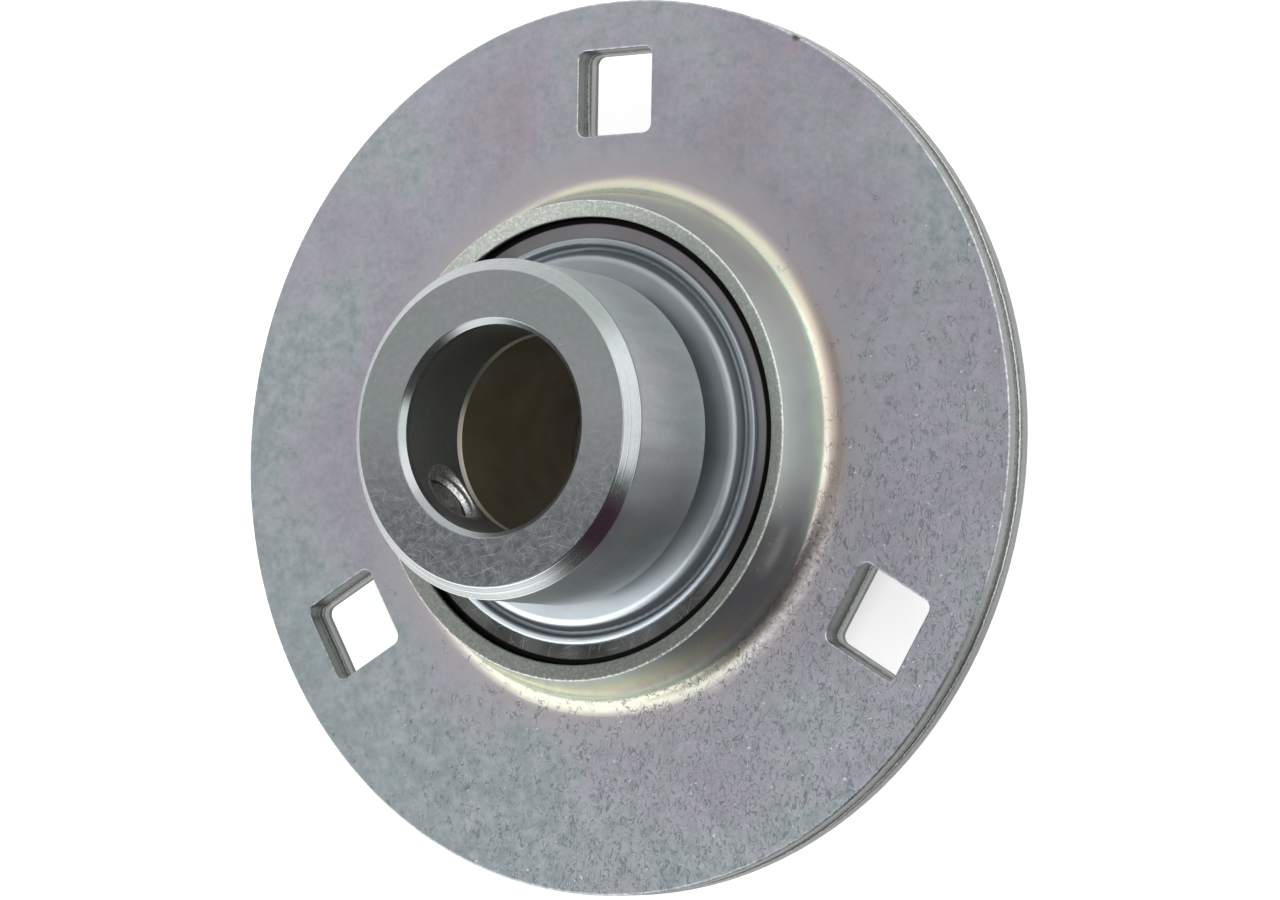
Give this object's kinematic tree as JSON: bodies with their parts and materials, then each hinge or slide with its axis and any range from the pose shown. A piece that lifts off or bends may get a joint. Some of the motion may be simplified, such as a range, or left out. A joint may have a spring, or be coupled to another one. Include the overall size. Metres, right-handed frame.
{
  "type": "three-bolt flange bearing",
  "caption": "Self-aligning ball bearing insert with an eccentric locking collar, held in a round pressed-steel flange with square bolt holes.",
  "frame": {"origin": "on the shaft's axis, in the plane of the mounting face, which is the back of the rear plate", "axes": "+Z along the shaft's axis towards the locking collar, +Y through the middle of one bolt hole, +X to the right when the collar faces the viewer"},
  "size_m": [0.09, 0.09, 0.0317],
  "materials": {
    "zinc_plate": "pressed sheet steel, zinc plated and passivated, faintly iridescent",
    "ground_steel": "ground bearing steel",
    "seal_cover": "stamped sheet steel, bright zinc",
    "seal_rubber": "black nitrile rubber",
    "zinc_collar": "turned steel, zinc plated",
    "screw_steel": "hardened steel, dull",
    "ball_steel": "polished bearing steel",
    "cage_nylon": "natural glass-filled nylon"
  },
  "bodies": {
    "housing": {"flange_front": "zinc_plate", "flange_rear": "zinc_plate"},
    "insert": {"outer_ring": "ground_steel", "seal_cover_front": "seal_cover", "seal_washer_front": "seal_cover", "seal_lip_front": "seal_rubber", "seal_cover_rear": "seal_cover", "seal_washer_rear": "seal_cover", "seal_lip_rear": "seal_rubber"},
    "shaft_ring": {"inner_ring": "ground_steel"},
    "collar": {"locking_collar": "zinc_collar"},
    "screw": {"set_screw": "screw_steel"},
    "cage": {"cage": "cage_nylon"},
    "ball_1": {"ball_1": "ball_steel"},
    "ball_2": {"ball_2": "ball_steel"},
    "ball_3": {"ball_3": "ball_steel"},
    "ball_4": {"ball_4": "ball_steel"},
    "ball_5": {"ball_5": "ball_steel"},
    "ball_6": {"ball_6": "ball_steel"},
    "ball_7": {"ball_7": "ball_steel"},
    "ball_8": {"ball_8": "ball_steel"}
  },
  "joints": [
    {"name": "insert_tilt", "type": "hinge", "parent": "housing", "child": "insert", "pos_m": [0, 0, 0.002], "axis": [1, 0, 0], "range_deg": [-5, 5]},
    {"name": "ring_spin", "type": "hinge", "parent": "insert", "child": "shaft_ring", "pos_m": [0, 0, 0.002], "axis": [0, 0, 1], "continuous": true},
    {"name": "collar_lock", "type": "hinge", "parent": "shaft_ring", "child": "collar", "pos_m": [0, 0, 0.002], "axis": [0, 0, 1], "range_deg": [-15, 15]},
    {"name": "screw_feed", "type": "slide", "parent": "collar", "child": "screw", "axis": [0.809, 0.5878, 0], "range_m": [-0.0005, 0.0009]},
    {"name": "cage_spin", "type": "hinge", "parent": "insert", "child": "cage", "pos_m": [0, 0, 0.002], "axis": [0, 0, 1], "continuous": true},
    {"name": "ball_1_spin", "type": "hinge", "parent": "cage", "child": "ball_1", "pos_m": [0.01547, 0.00641, 0.002], "axis": [0, 0, 1], "continuous": true},
    {"name": "ball_2_spin", "type": "hinge", "parent": "cage", "child": "ball_2", "pos_m": [0.00641, 0.01547, 0.002], "axis": [0, 0, 1], "continuous": true},
    {"name": "ball_3_spin", "type": "hinge", "parent": "cage", "child": "ball_3", "pos_m": [-0.00641, 0.01547, 0.002], "axis": [0, 0, 1], "continuous": true},
    {"name": "ball_4_spin", "type": "hinge", "parent": "cage", "child": "ball_4", "pos_m": [-0.01547, 0.00641, 0.002], "axis": [0, 0, 1], "continuous": true},
    {"name": "ball_5_spin", "type": "hinge", "parent": "cage", "child": "ball_5", "pos_m": [-0.01547, -0.00641, 0.002], "axis": [0, 0, 1], "continuous": true},
    {"name": "ball_6_spin", "type": "hinge", "parent": "cage", "child": "ball_6", "pos_m": [-0.00641, -0.01547, 0.002], "axis": [0, 0, 1], "continuous": true},
    {"name": "ball_7_spin", "type": "hinge", "parent": "cage", "child": "ball_7", "pos_m": [0.00641, -0.01547, 0.002], "axis": [0, 0, 1], "continuous": true},
    {"name": "ball_8_spin", "type": "hinge", "parent": "cage", "child": "ball_8", "pos_m": [0.01547, -0.00641, 0.002], "axis": [0, 0, 1], "continuous": true}
  ],
  "couplings": [
    {"joint": "cage_spin", "follows": "ring_spin", "ratio": 0.38152},
    {"joint": "ball_1_spin", "follows": "ring_spin", "ratio": -1.9916},
    {"joint": "ball_2_spin", "follows": "ring_spin", "ratio": -1.9916},
    {"joint": "ball_3_spin", "follows": "ring_spin", "ratio": -1.9916},
    {"joint": "ball_4_spin", "follows": "ring_spin", "ratio": -1.9916},
    {"joint": "ball_5_spin", "follows": "ring_spin", "ratio": -1.9916},
    {"joint": "ball_6_spin", "follows": "ring_spin", "ratio": -1.9916},
    {"joint": "ball_7_spin", "follows": "ring_spin", "ratio": -1.9916},
    {"joint": "ball_8_spin", "follows": "ring_spin", "ratio": -1.9916}
  ]
}
